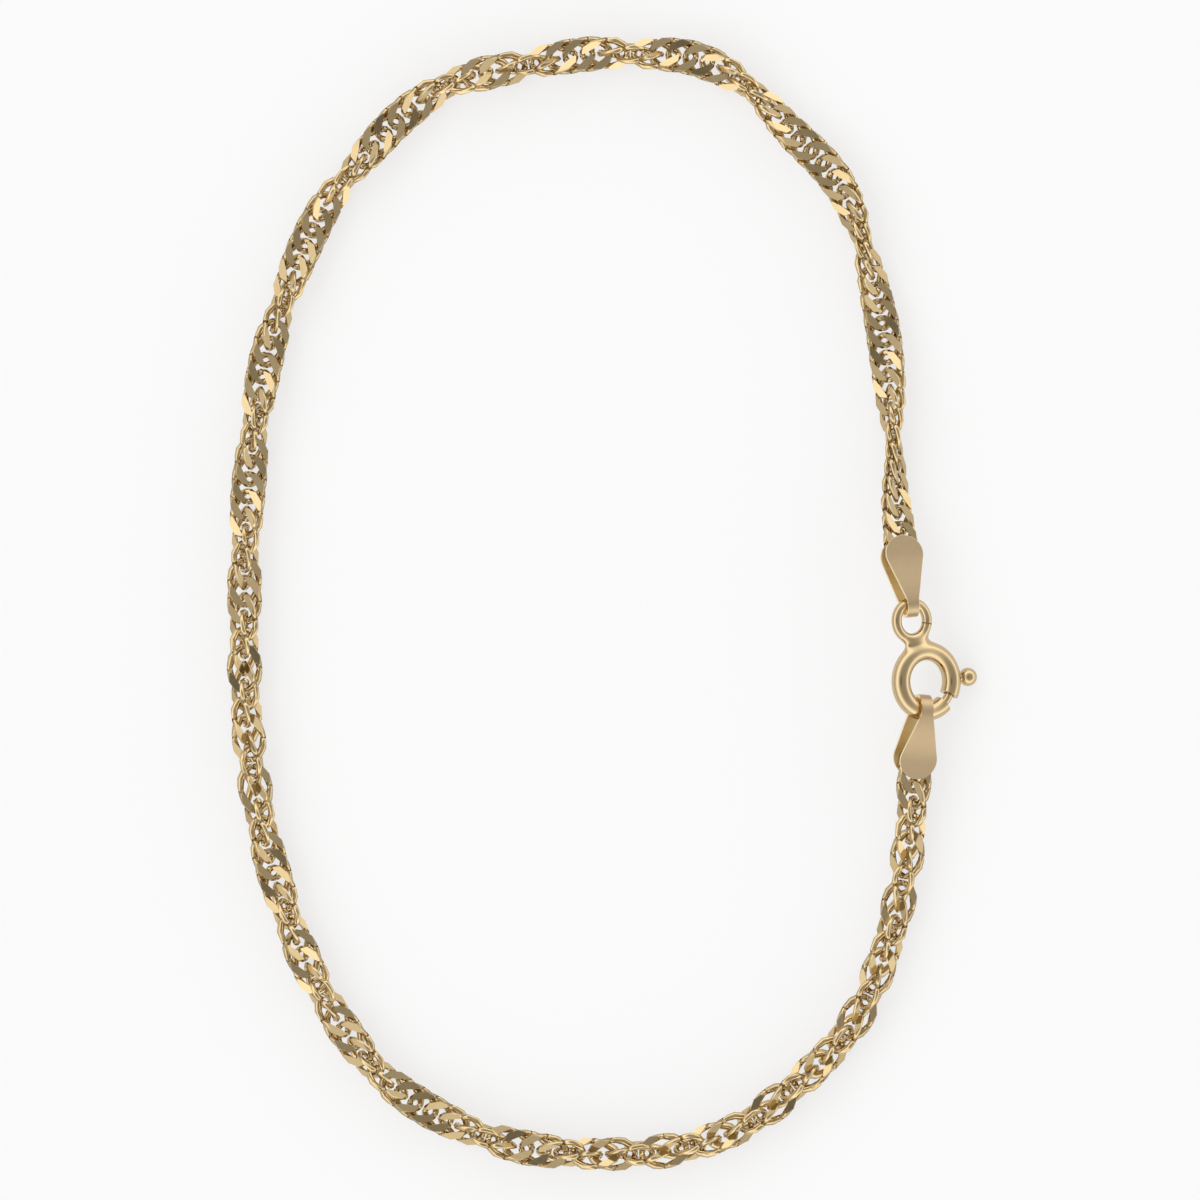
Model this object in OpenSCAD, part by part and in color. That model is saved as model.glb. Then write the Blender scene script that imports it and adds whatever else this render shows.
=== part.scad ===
// Twisted double curb (Singapore) chain with folded end tags and a bolt ring clasp.
// The chain lies closed on a flat surface. Millimetres, +Z up, +Y towards the loop's top.

/* [Loop] */
// Width of the lying loop, to the middle of the chain
loop_width = 62.2; // [55:0.1:75]
// Length of the lying loop, to the middle of the chain
loop_length = 95.6; // [85:0.1:115]

/* [Chain] */
// Half length of a link, to the middle of its wire
link_a = 1.96; // [1.4:0.01:2.4]
// Half width of a link, to the middle of its wire
link_b = 1.29; // [0.9:0.01:1.6]
// How far a link's two high quarters stand above its middle plane
link_saddle = 0.24; // [0.1:0.01:0.5]
// Wire thickness at the round ends of a link
wire_d = 0.4; // [0.3:0.01:0.6]
// Width of the flat cut on a link's long sides
flat_w = 0.6; // [0.4:0.01:0.8]
// Wire thickness under the flat cut
flat_t = 0.36; // [0.25:0.01:0.5]
// How far a link can still slide towards its next but one neighbour, halved
link_slack = 0.27; // [0.15:0.005:0.5]
// Turn of the first link about the chain's length, degrees
turn_first = 16; // [0:1:90]
// Turn of the last link past its last half turn, degrees
turn_last = 20; // [0:1:90]
// Turn between the two links next to each end tag, degrees
turn_settle = 10; // [3:0.5:15]

/* [End tags] */
// Thickness of the folded strip
tag_t = 0.25; // [0.15:0.01:0.4]
// Width of the strip where it folds round the clasp
tag_neck_w = 1.05; // [0.8:0.05:1.6]
// Radius of a leaf's round end
tag_end_r = 1.68; // [1.2:0.01:2.2]
// Fold centre to the middle of the round end
tag_length = 4.2; // [3.5:0.05:6]
// Fold centre to the bend where the leaves turn parallel
tag_bend = 2.2; // [1.5:0.1:3.5]
// Free height between the two leaves at the chain
leaf_gap = 1.4; // [0.9:0.01:1.6]
// Diameter of the soldered post that holds the end link
post_d = 0.55; // [0.4:0.05:0.8]
// Distance of the post from the middle of the round end, towards the fold
post_back = 0.2; // [0:0.01:0.6]
// Free way between the post and the end of its link
post_slack = 0.32; // [0.1:0.01:0.6]
// Gap all round between the eye's wire and the upper tag's fold
upper_fold_clear = 0.55; // [0.2:0.01:0.8]
// How far the middle of the upper fold lies below the eye's wire
upper_fold_drop = 0.27; // [0:0.01:0.4]
// Gap all round between the ring's tube and the lower tag's fold
lower_fold_clear = 0.365; // [0.2:0.005:0.6]

/* [Clasp ring] */
// Ring's centre inside the loop's right edge
ring_inset = 3; // [1:0.1:6]
// Ring's centre below the loop's middle, in hundredths of the half length
ring_below = 14.4; // [0:0.1:30]
// Mean radius of the ring
ring_r = 2.62; // [2:0.01:4]
// Outside diameter of the ring's tube
tube_d = 1.65; // [1.2:0.01:2.2]
// Diameter of the bore along the tube
bore_d = 0.96; // [0.7:0.01:1.4]
// Angle of the upper end of the tube at the opening, degrees
mouth_upper = -26; // [-45:1:-10]
// Angle of the lower end of the tube at the opening, degrees
mouth_lower = -49; // [-80:1:-40]
// Angle at which the lower tag's fold sits on the ring, degrees
lower_fold_angle = -100; // [-110:1:-80]
// Lean of the lying ring, right side down, degrees
ring_lean = 31.5; // [0:0.5:45]
// Mean radius of the small eye
eye_r = 1.56; // [1:0.01:2]
// Wire thickness of the small eye
eye_wire = 0.9; // [0.5:0.01:1.2]
// Direction of the small eye from the ring's centre, degrees
eye_angle = 106; // [60:1:150]
// Angle at which the upper tag's fold sits on the eye, degrees
upper_fold_angle = 98; // [80:1:110]
// Direction of the butt joint in the eye's wire, degrees
seam_angle = -9; // [-90:1:90]
// Width of the butt joint
seam_w = 0.06; // [0.02:0.01:0.2]
// Thickness of the soldered neck between ring and eye
neck_t = 1.0; // [0.6:0.05:1.5]
// Radius of the solder fillet on each side of the neck
neck_fillet = 0.5; // [0.2:0.05:1]

/* [Bolt] */
// Diameter of the sliding bolt
bolt_d = 0.8; // [0.5:0.01:1]
// Angle of the bolt's tip when the clasp is shut, degrees
bolt_tip = -57; // [-75:1:-50]
// Angle of the bolt's tail when the clasp is shut, degrees
bolt_tail = 38; // [20:1:60]
// Angle of the trigger when the clasp is shut, degrees
trigger_angle = 4.7; // [-5:0.1:20]
// Travel of the trigger, degrees
trigger_travel = 32; // [20:1:40]
// Diameter of the trigger's stem
stem_d = 0.5; // [0.3:0.05:0.8]
// Diameter of the trigger's ball
ball_d = 1.6; // [1:0.05:2.2]
// Gap between the ball and the ring's tube
ball_gap = 0.1; // [0.05:0.01:0.3]
// Running clearance all round the stem in its slot
slot_clear = 0.07; // [0.03:0.01:0.15]

/* [Output] */
// Which piece to show

/* [Hidden] */
$fn = 64;

gold = [0.83, 0.68, 0.44];
gold_deep = [0.78, 0.62, 0.38];

// Sides of a link round its loop, and of its wire
link_sides = 10;
wire_sides = 5;
wire_step = 360 / wire_sides;
// A drawn five-sided wire is this much larger, to keep the round wire's weight
wire_grow = 1.08;
// The top and bottom edges of the ten-sided loop lie on the true half width
side_grow = 1 / sin(72);

// Where the chain lies between its two end links: x and y as hundredths of the loop's
// half width and half length, and how far it is lifted there
route = [
    [82, 18.6, 0.3], [81.5, 27.4, 0], [78, 50.8, 0], [67.9, 73.8, 0],
    [51.5, 86.3, 0], [41, 93.4, 0], [26.5, 98.6, 0], [11, 99.6, 0],
    [-5, 99.5, 0], [-21, 97.6, 0], [-40.5, 94.6, 0], [-54.5, 89, 0],
    [-66.5, 80.8, 0], [-80.2, 68.6, 0], [-93, 46.4, 0], [-98.5, 23.2, 0],
    [-100, -0.4, 0], [-98.9, -24.1, 0], [-92.6, -47.3, 0], [-79.7, -69.5, 0],
    [-58.2, -88.1, 0], [-25.5, -98.6, 0], [10.6, -100.2, 0], [34.5, -96.7, 0],
    [54, -88, 0], [70.4, -76.2, 0], [79.6, -62.4, 0], [84.9, -47.5, 0]
];
// Where the chain stands on edge, in hundredths of its length, one for each half turn
edge_marks = [
    4.2, 11.4, 18.7, 23.4, 27.1, 30, 35.3, 40.7, 45.2, 49.8, 52.9, 55.4, 57.6,
    59.9, 63.6, 66.7, 70, 74.8, 78.3, 80.5, 82.7, 84.9, 87.1, 89.3, 91.5, 93.7,
    95.9, 98.1
];

// One link is a saddle-shaped loop of flattened wire
function unit(v) = v / norm(v);
function loop_mid(t) = [link_a * cos(t), side_grow * link_b * sin(t), -link_saddle * sin(2 * t)];
function loop_way(t) = unit([-link_a * sin(t), side_grow * link_b * cos(t), -2 * link_saddle * cos(2 * t)]);
function loop_up(t) = let (w = loop_way(t)) unit([0, 0, 1] - w[2] * w);
function flatness(t) = pow(sin(t), 2);
function wire_half_w(t) = wire_grow * (wire_d + (flat_w - wire_d) * flatness(t)) / 2;
function wire_half_t(t) = wire_grow * (wire_d + (flat_t - wire_d) * flatness(t)) / 2;
// The flat side of the wire faces up on the high quarters and down on the low ones
function wire_turn(t) = wire_step / 2 - wire_step / 4 * sign(round(1000 * sin(2 * t)));
function wire_point(t, k) =
    let (u = loop_up(t), side = cross(loop_way(t), u), q = wire_turn(t) + k * wire_step)
    loop_mid(t) + wire_half_w(t) * cos(q) * side + wire_half_t(t) * sin(q) * u;
link_points = [
    for (i = [0:link_sides - 1], k = [0:wire_sides - 1]) wire_point(i * 360 / link_sides, k)
];
function corner(i, k) = (i % link_sides) * wire_sides + k % wire_sides;
link_faces = [
    for (i = [0:link_sides - 1], k = [0:wire_sides - 1], half = [0, 1])
        half == 0 ? [corner(i, k), corner(i + 1, k), corner(i + 1, k + 1)]
        : [corner(i, k), corner(i + 1, k + 1), corner(i, k + 1)]
];
points_per_link = link_sides * wire_sides;
// Height of the chain's middle line, so that its links rest on the surface
lying_height = max([for (p = link_points) norm([p[1], p[2]])]);

// Clasp values
eye_dist = ring_r + tube_d / 2 + eye_r + eye_wire / 2;
ball_r_at = ring_r + tube_d / 2 + ball_gap + ball_d / 2;
ring_x = loop_width / 2 - ring_inset;
ring_y = -ring_below * loop_length / 200;
// The ball is the clasp's lowest point and rests on the surface
ring_z = ball_d / 2 + ball_r_at * cos(trigger_angle) * sin(ring_lean);
mouth_sweep = 360 + mouth_lower - mouth_upper;
slot_half = stem_d / 2 + slot_clear;
slot_over = asin(slot_half / (ring_r + bore_d / 2)) + 0.5;
// Centre of the fillet that touches both the ring and the eye, with the neck along +X
fillet_to_ring = ring_r + tube_d / 2 + neck_fillet;
fillet_to_eye = eye_r + eye_wire / 2 + neck_fillet;
fillet_x = (pow(fillet_to_ring, 2) - pow(fillet_to_eye, 2) + pow(eye_dist, 2)) / (2 * eye_dist);
fillet_y = sqrt(pow(fillet_to_ring, 2) - pow(fillet_x, 2));
touch_ring = [fillet_x, fillet_y] * (ring_r + tube_d / 2) / fillet_to_ring;
touch_eye = [eye_dist, 0] + ([fillet_x, fillet_y] - [eye_dist, 0]) * (eye_r + eye_wire / 2) / fillet_to_eye;

// A point of the leaned clasp, from its place in the ring's own plane
function on_clasp(p) = [
    ring_x + p[0] * cos(ring_lean), ring_y + p[1], ring_z - p[0] * sin(ring_lean)
];

// Tag values: free radius inside each fold, and where its centre lies
upper_fold_r = eye_wire / 2 + upper_fold_clear;
lower_fold_r = tube_d / 2 + lower_fold_clear;
eye_middle = eye_dist * [cos(eye_angle), sin(eye_angle)];
upper_fold_at = on_clasp(eye_middle + eye_r * [cos(upper_fold_angle), sin(upper_fold_angle)])
    - [0, 0, upper_fold_drop];
lower_fold_at = on_clasp(ring_r * [cos(lower_fold_angle), sin(lower_fold_angle)]);
// Turn of each tag about Z, dip towards the chain, and roll about its own length
upper_tag_turn = [99, 11.5, 16];
lower_tag_turn = [-98, 10.5, -20];
// Each end link hangs on its tag's post, swung a little to one side between the leaves
upper_swing = -4;
lower_swing = 9;
end_link_reach = link_a - wire_d / 2 - post_d / 2 - post_slack;
function tag_way(turn) = [cos(turn[1]) * cos(turn[0]), cos(turn[1]) * sin(turn[0]), -sin(turn[1])];
function tag_side(turn) =
    let (left = [-sin(turn[0]), cos(turn[0]), 0])
    cos(turn[2]) * left + sin(turn[2]) * cross(tag_way(turn), left);
function end_link_at(fold, turn, swing) =
    fold + (tag_length - post_back) * tag_way(turn)
    + end_link_reach * (cos(swing) * tag_way(turn) + sin(swing) * tag_side(turn));
start_at = end_link_at(upper_fold_at, upper_tag_turn, upper_swing);
finish_at = end_link_at(lower_fold_at, lower_tag_turn, lower_swing);

// The route as short straight steps, and the distance run at each of them
route_steps = 12;
share = [loop_width / 200, loop_length / 200];
points = concat(
    [start_at], [for (p = route) [p[0] * share[0], p[1] * share[1], p[2] + lying_height]], [finish_at]
);
last_span = len(points) - 2;
function point(i) = i < 0 ? 2 * points[0] - points[1]
    : i > last_span + 1 ? 2 * points[last_span + 1] - points[last_span]
    : points[i];
function curve(p0, p1, p2, p3, t) =
    0.5 * (2 * p1 + (p2 - p0) * t + (2 * p0 - 5 * p1 + 4 * p2 - p3) * t * t
    + (3 * p1 - p0 - 3 * p2 + p3) * t * t * t);
path = concat(
    [for (i = [0:last_span], k = [0:route_steps - 1])
        curve(point(i - 1), point(i), point(i + 1), point(i + 2), k / route_steps)],
    [finish_at]
);
path_run = [
    for (i = 0, s = 0; i < len(path); i = i + 1, s = s + (i < len(path) ? norm(path[i] - path[i - 1]) : 0)) s
];
chain_length = path_run[len(path_run) - 1];
// Two halves with the same number of links, spread evenly over the chain's length
half_count = round((chain_length / (link_a - wire_d / 2 - link_slack) + 1) / 2);
link_count = 2 * half_count;
link_pitch = chain_length / (link_count - 1);
path_axis = [for (k = [0:2]) [for (i = [0:len(path) - 1]) [path_run[i], path[i][k]]]];
function route_at(s) = [
    lookup(s, path_axis[0]), lookup(s, path_axis[1]), max(lookup(s, path_axis[2]), lying_height)
];

// Turn of the chain about its own length, by distance
edge_count = len(edge_marks);
turn_end = 180 * edge_count + turn_last;
turn_table = concat(
    [[0, turn_first], [link_pitch, turn_first + turn_settle]],
    [for (i = [0:edge_count - 1]) [edge_marks[i] * chain_length / 100, 90 + 180 * i]],
    [[chain_length - link_pitch, turn_end - turn_settle], [chain_length, turn_end]]
);
// It lies longer on its faces and turns over faster on its edges: degrees a link, at least and at most
face_step = 9;
edge_step = 50;
function half_turn_links(half) =
    (edge_marks[half + 1] - edge_marks[half]) * chain_length / (100 * link_pitch);
function ease_at(half) = half < 0 || half > edge_count - 2 ? 0
    : let (even_step = 180 / half_turn_links(half))
        max(0, min(1 - face_step / even_step, edge_step / even_step - 1) / 2);
function turn_at(s) =
    let (even = lookup(s, turn_table))
    even - ease_at(floor((even - 90) / 180)) * 180 / PI * sin(2 * even);

// A link in its place on the route
function link_frame(s) =
    let (
        way = unit(route_at(min(s + link_pitch, chain_length)) - route_at(max(s - link_pitch, 0))),
        left = unit([-way[1], way[0], 0]),
        up = cross(way, left),
        a = turn_at(s)
    )
    [way, cos(a) * left + sin(a) * up, cos(a) * up - sin(a) * left];
function placed_link(i) =
    let (s = i * link_pitch, f = link_frame(s), mid = route_at(s))
    [for (p = link_points) mid + p[0] * f[0] + p[1] * f[1] + p[2] * f[2]];

module links(first, last) {
    polyhedron(
        points = [for (i = [first:last]) each placed_link(i)],
        faces = [for (i = [first:last], f = link_faces) f + (i - first) * points_per_link * [1, 1, 1]],
        convexity = 10
    );
}

module chain_upper_half() {
    color(gold) links(0, half_count - 1);
}

module chain_lower_half() {
    color(gold) links(half_count, link_count - 1);
}

// Side view of the folded strip: a half ring, then two legs that bend parallel
module tag_profile(fold_r) {
    difference() {
        circle(r = fold_r + tag_t);
        circle(r = fold_r);
        translate([0, -fold_r - 1]) square(2 * fold_r + 2);
    }
    for (side = [0, 1]) mirror([0, side]) polygon([
        [-0.03, fold_r], [-0.03, fold_r + tag_t],
        [tag_bend, leaf_gap / 2 + tag_t], [tag_length + tag_end_r, leaf_gap / 2 + tag_t],
        [tag_length + tag_end_r, leaf_gap / 2], [tag_bend, leaf_gap / 2]
    ]);
}

// Plan of the strip: narrow at the fold, widening to the round end
module tag_outline(fold_r) {
    half = tag_neck_w / 2;
    reach = norm([tag_length, half]);
    touch = 180 - atan2(half, tag_length) - acos(tag_end_r / reach);
    translate([tag_length, 0]) circle(r = tag_end_r);
    polygon([
        [0, -half], [tag_length + tag_end_r * cos(touch), -tag_end_r * sin(touch)],
        [tag_length, 0],
        [tag_length + tag_end_r * cos(touch), tag_end_r * sin(touch)], [0, half]
    ]);
    translate([-fold_r - tag_t - 0.1, -half]) square([fold_r + tag_t + 0.2, 2 * half]);
}

module folded_tag(fold_r) {
    deep = fold_r + tag_t + 0.5;
    intersection() {
        rotate([90, 0, 0])
            linear_extrude(height = 2 * tag_end_r + 1, center = true) tag_profile(fold_r);
        translate([0, 0, -deep]) linear_extrude(height = 2 * deep) tag_outline(fold_r);
    }
    translate([tag_length - post_back, 0, -leaf_gap / 2 - tag_t / 2])
        cylinder(d = post_d, h = leaf_gap + tag_t);
}

module place_tag(at, turn) {
    translate(at) rotate([0, 0, turn[0]]) rotate([0, turn[1], 0]) rotate([turn[2], 0, 0]) children();
}

module upper_tag() {
    color(gold_deep) place_tag(upper_fold_at, upper_tag_turn) folded_tag(upper_fold_r);
}

module lower_tag() {
    color(gold_deep) place_tag(lower_fold_at, lower_tag_turn) folded_tag(lower_fold_r);
}

module place_clasp() {
    translate([ring_x, ring_y, ring_z]) rotate([0, ring_lean, 0]) children();
}

// A round bar bent along the ring's mean circle
module ring_bar(d, from, sweep) {
    rotate([0, 0, from]) rotate_extrude(angle = sweep) translate([ring_r, 0]) circle(d = d);
}

module neck_plan() {
    difference() {
        polygon([
            [ring_r, 0], [touch_ring[0], -touch_ring[1]], [fillet_x, -fillet_y],
            [touch_eye[0], -touch_eye[1]], [eye_dist - eye_r, 0],
            touch_eye, [fillet_x, fillet_y], touch_ring
        ]);
        for (side = [-1, 1]) translate([fillet_x, side * fillet_y]) circle(r = neck_fillet);
    }
}

module clasp_ring() {
    color(gold) place_clasp() difference() {
        union() {
            ring_bar(tube_d, mouth_upper, mouth_sweep);
            rotate([0, 0, eye_angle]) {
                linear_extrude(height = neck_t, center = true) neck_plan();
                translate([eye_dist, 0, 0])
                    rotate_extrude() translate([eye_r, 0]) circle(d = eye_wire);
            }
        }
        // bore for the bolt
        ring_bar(bore_d, mouth_upper - 1, mouth_sweep + 2);
        // slot for the trigger's stem
        rotate([0, 0, trigger_angle - slot_over])
            rotate_extrude(angle = trigger_travel + 2 * slot_over)
                translate([ring_r, -slot_half]) square([tube_d, 2 * slot_half]);
        // butt joint in the eye's wire
        rotate([0, 0, eye_angle]) translate([eye_dist, 0, 0]) rotate([0, 0, seam_angle - eye_angle])
            translate([eye_r, 0, 0]) cube([2 * eye_wire, seam_w, 2 * eye_wire], center = true);
    }
}

module clasp_bolt() {
    color(gold_deep) place_clasp() {
        ring_bar(bolt_d, bolt_tip, bolt_tail - bolt_tip);
        rotate([0, 0, bolt_tip]) translate([ring_r, 0, 0]) sphere(d = bolt_d);
        rotate([0, 0, trigger_angle]) {
            translate([ring_r, 0, 0]) rotate([0, 90, 0]) cylinder(d = stem_d, h = ball_r_at - ring_r);
            translate([ball_r_at, 0, 0]) sphere(d = ball_d);
        }
    }
}

chain_upper_half();
chain_lower_half();
upper_tag();
lower_tag();
clasp_ring();
clasp_bolt();
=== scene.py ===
"""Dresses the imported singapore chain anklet: twisted curb links, end tags and bolt ring clasp."""
import logging
import math
from dataclasses import dataclass, field
from enum import Enum
from functools import partial
from typing import Callable, Sequence

import bmesh
import bpy
import numpy as np
from mathutils import Matrix, Vector


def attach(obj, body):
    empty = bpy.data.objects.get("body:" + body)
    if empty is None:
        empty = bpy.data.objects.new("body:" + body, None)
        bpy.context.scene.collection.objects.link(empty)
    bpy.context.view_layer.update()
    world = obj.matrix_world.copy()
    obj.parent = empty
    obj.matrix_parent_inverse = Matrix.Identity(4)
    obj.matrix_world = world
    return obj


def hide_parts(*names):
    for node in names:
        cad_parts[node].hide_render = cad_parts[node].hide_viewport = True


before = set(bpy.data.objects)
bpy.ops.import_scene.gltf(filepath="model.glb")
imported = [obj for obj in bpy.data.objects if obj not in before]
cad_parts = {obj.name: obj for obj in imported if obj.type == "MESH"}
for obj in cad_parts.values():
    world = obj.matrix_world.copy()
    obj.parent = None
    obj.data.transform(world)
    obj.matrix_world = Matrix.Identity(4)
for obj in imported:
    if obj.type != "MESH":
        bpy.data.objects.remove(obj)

log = logging.getLogger("anklet")
MM = 0.001
NUDGE = 0.001

Pair = tuple[float, float]
Point = tuple[float, float, float]
Faces = list[tuple[int, ...]]
Array = np.ndarray
Points = Array | Sequence[Point]
Piece = bpy.types.Object
Mesh = bpy.types.Mesh
Material = bpy.types.Material
Tree = bpy.types.NodeTree
Node = bpy.types.Node
Socket = bpy.types.NodeSocket
Inputs = dict[str | int, object]


class Body(Enum):
    """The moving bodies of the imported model."""

    CHAIN_AND_RING = "chain_and_ring"
    BOLT = "bolt"


class Slot(Enum):
    """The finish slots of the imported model."""

    CHAIN = "chain_gold"
    CLASP = "clasp_gold"


class Tone(Enum):
    """How far the polish of a surface has gone, as its least and its most roughness."""

    BRIGHT = (0.1, 0.22)
    SATIN = (0.22, 0.34)
    MATT = (0.4, 0.5)


def feed(node: Node, inputs: Inputs) -> Node:
    """Feeds a node's inputs.

    Args:
        node: The node.
        inputs: What goes into each input, by its name or number: an output to join, or a value.

    Returns:
        The same node.
    """
    for name, value in inputs.items():
        if isinstance(value, Socket):
            node.id_data.links.new(value, node.inputs[name])
        else:
            node.inputs[name].default_value = value
    return node


def new_node(tree: Tree, kind: str, inputs: Inputs | None = None, **settings: object) -> Node:
    """Adds a node to a tree.

    Args:
        tree: The tree.
        kind: The node's type.
        inputs: What goes into each input.
        settings: The node's own settings.

    Returns:
        The node.
    """
    made = tree.nodes.new(kind)
    for name, value in settings.items():
        setattr(made, name, value)
    return feed(made, inputs or {})


def ranged(tree: Tree, value: Socket, given: Pair, wanted: Pair) -> Socket:
    """Maps a number from one range to another.

    Args:
        tree: The tree.
        value: The number.
        given: Its range.
        wanted: The range that it is mapped to.

    Returns:
        The mapped number.
    """
    names = ("Value", "From Min", "From Max", "To Min", "To Max")
    inputs = dict(zip(names, (value, *given, *wanted)))
    return new_node(tree, "ShaderNodeMapRange", inputs).outputs["Result"]


@dataclass(frozen=True)
class GoldFinish:
    """Polished 9 ct yellow gold, with the slight marks that a polishing mop leaves.

    The deeper colour lies in it as soft clouds, and a piece's "shade" darkens it a little.
    """

    name: str
    colour: Point
    deep_colour: Point
    tone: Tone = Tone.BRIGHT
    mark_scale: float = 900.0
    mark_depth: float = 0.000012
    mark_strength: float = 0.25
    mark_detail: float = 6.0
    mark_roughness: float = 0.7
    mark_range: Pair = (0.3, 0.75)
    cloud_share: float = 0.35
    cloud_detail: float = 3.0
    cloud_range: Pair = (0.3, 0.8)
    cloud_most: float = 0.55
    darkest_shade: float = 0.84

    def make(self) -> Material:
        """Builds the material.

        Returns:
            A material that reads only Object coordinates and the piece's own attribute.
        """
        made = bpy.data.materials.new(self.name)
        made.use_nodes = True
        tree = made.node_tree
        add = partial(new_node, tree)
        place = add("ShaderNodeTexCoord").outputs["Object"]
        cloud = add("ShaderNodeTexNoise", {
            "Vector": place, "Scale": self.mark_scale * self.cloud_share,
            "Detail": self.cloud_detail,
        }).outputs["Fac"]
        tint = add("ShaderNodeMix", {
            "A": (*self.colour, 1.0), "B": (*self.deep_colour, 1.0),
            "Factor": ranged(tree, cloud, self.cloud_range, (0.0, self.cloud_most)),
        }, data_type="RGBA")
        shade = add("ShaderNodeAttribute", attribute_name="shade").outputs["Fac"]
        shaded = add("ShaderNodeVectorMath", {
            0: tint.outputs["Result"],
            "Scale": ranged(tree, shade, (0.0, 1.0), (1.0, self.darkest_shade)),
        }, operation="SCALE")
        marks = add("ShaderNodeTexNoise", {
            "Vector": place, "Scale": self.mark_scale, "Detail": self.mark_detail,
            "Roughness": self.mark_roughness,
        }).outputs["Fac"]
        bump = add("ShaderNodeBump", {
            "Strength": self.mark_strength, "Distance": self.mark_depth, "Height": marks,
        })
        feed(tree.nodes["Principled BSDF"], {
            "Metallic": 1.0,
            "Base Color": shaded.outputs["Vector"],
            "Roughness": ranged(tree, marks, self.mark_range, self.tone.value),
            "Normal": bump.outputs["Normal"],
        })
        return made


CHAIN_GOLD = GoldFinish(
    "chain_gold_polish", (0.68, 0.52, 0.285), (0.56, 0.41, 0.20), mark_depth=0.00002
)
CLASP_GOLD = GoldFinish("clasp_gold_polish", (0.605, 0.46, 0.265), (0.54, 0.405, 0.215))
LEAF_GOLD = GoldFinish(
    "tag_gold_matt", (0.59, 0.445, 0.27), (0.55, 0.41, 0.24), Tone.MATT,
    mark_scale=5000.0, mark_depth=0.000004,
)
# Painted light: a much lighter gold on the tags' inner faces, lighting up the shade between the
# leaves.
INNER_GOLD_PAINTED_LIGHT = GoldFinish("inner_gold_matt_painted_light", (0.82, 0.66, 0.36), (0.76, 0.59, 0.29), Tone.MATT)
# Painted highlight: a lighter gold on the tags' rims and posts, drawing a bright line along the
# rims.
RIM_GOLD_PAINTED_HIGHLIGHT = GoldFinish("rim_gold_satin_painted_highlight", (0.86, 0.70, 0.44), (0.80, 0.63, 0.37), Tone.SATIN)


@dataclass(frozen=True)
class FloorFinish:
    """The white, matt light table that the chain lies on."""

    name: str = "white_card"
    grey: float = 0.34
    roughness: float = 0.9
    gloss: float = 0.1
    glow: float = 0.62

    def make(self) -> Material:
        """Builds the material.

        Returns:
            The material.
        """
        made = bpy.data.materials.new(self.name)
        made.use_nodes = True
        feed(made.node_tree.nodes["Principled BSDF"], {
            "Base Color": (self.grey, self.grey, self.grey, 1.0), "Roughness": self.roughness,
            "Specular IOR Level": self.gloss, "Emission Color": (1.0, 1.0, 1.0, 1.0),
            "Emission Strength": self.glow,
        })
        return made


def turn_outward(mesh: Mesh) -> None:
    """Turns all faces of a closed mesh outward.

    Args:
        mesh: The mesh.
    """
    solid = bmesh.new()
    solid.from_mesh(mesh)
    bmesh.ops.recalc_face_normals(solid, faces=solid.faces)
    solid.to_mesh(mesh)
    solid.free()


def new_object(name: str, mesh: Mesh) -> Piece:
    """Puts a mesh into the scene as an object at the origin.

    Args:
        name: Name of the object.
        mesh: Its mesh, already in place.

    Returns:
        The object.
    """
    made = bpy.data.objects.new(name, mesh)
    bpy.context.scene.collection.objects.link(made)
    return made


def mesh_from(name: str, points: Points, faces: Faces, unit: float = MM) -> Mesh:
    """Makes a closed, smooth-shaded mesh, whose faces all look outward.

    Args:
        name: Name of the mesh.
        points: Its points.
        faces: Its faces, as numbers of points.
        unit: What the points are multiplied by.

    Returns:
        The mesh.
    """
    mesh = bpy.data.meshes.new(name)
    mesh.from_pydata([tuple(float(v) * unit for v in p) for p in points], [], faces)
    mesh.shade_smooth()
    mesh.update()
    turn_outward(mesh)
    return mesh


def settled(piece: Piece, name: str) -> Piece:
    """Turns an object with modifiers into a plain mesh object and removes the first.

    Args:
        piece: The object with its modifiers.
        name: Name of the plain object.

    Returns:
        The plain object, at the origin.
    """
    graph = bpy.context.evaluated_depsgraph_get()
    mesh = bpy.data.meshes.new_from_object(
        piece.evaluated_get(graph), preserve_all_data_layers=True, depsgraph=graph
    )
    mesh.name = name
    bpy.data.objects.remove(piece)
    return new_object(name, mesh)


def hand_over(piece: Piece, body: Body, slot: Slot, *nodes: str) -> None:
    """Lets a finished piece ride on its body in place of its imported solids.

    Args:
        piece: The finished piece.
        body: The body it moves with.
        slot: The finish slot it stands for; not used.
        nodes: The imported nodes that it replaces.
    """
    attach(piece, body.value)
    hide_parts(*nodes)
    log.info("%s: %d faces, on %s", piece.name, len(piece.data.polygons), body.value)


class ClaspPart:
    """A part of the clasp or a tag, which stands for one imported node."""

    body = Body.CHAIN_AND_RING

    def dress(self, *finishes: Material) -> None:
        """Builds the part and hands it over."""
        hand_over(self.build(*finishes), self.body, Slot.CLASP, self.node)


def ray(degrees: float) -> Vector:
    """Returns the direction at this angle in the ring's own plane."""
    turn = math.radians(degrees)
    return Vector((math.cos(turn), math.sin(turn), 0.0))


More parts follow.
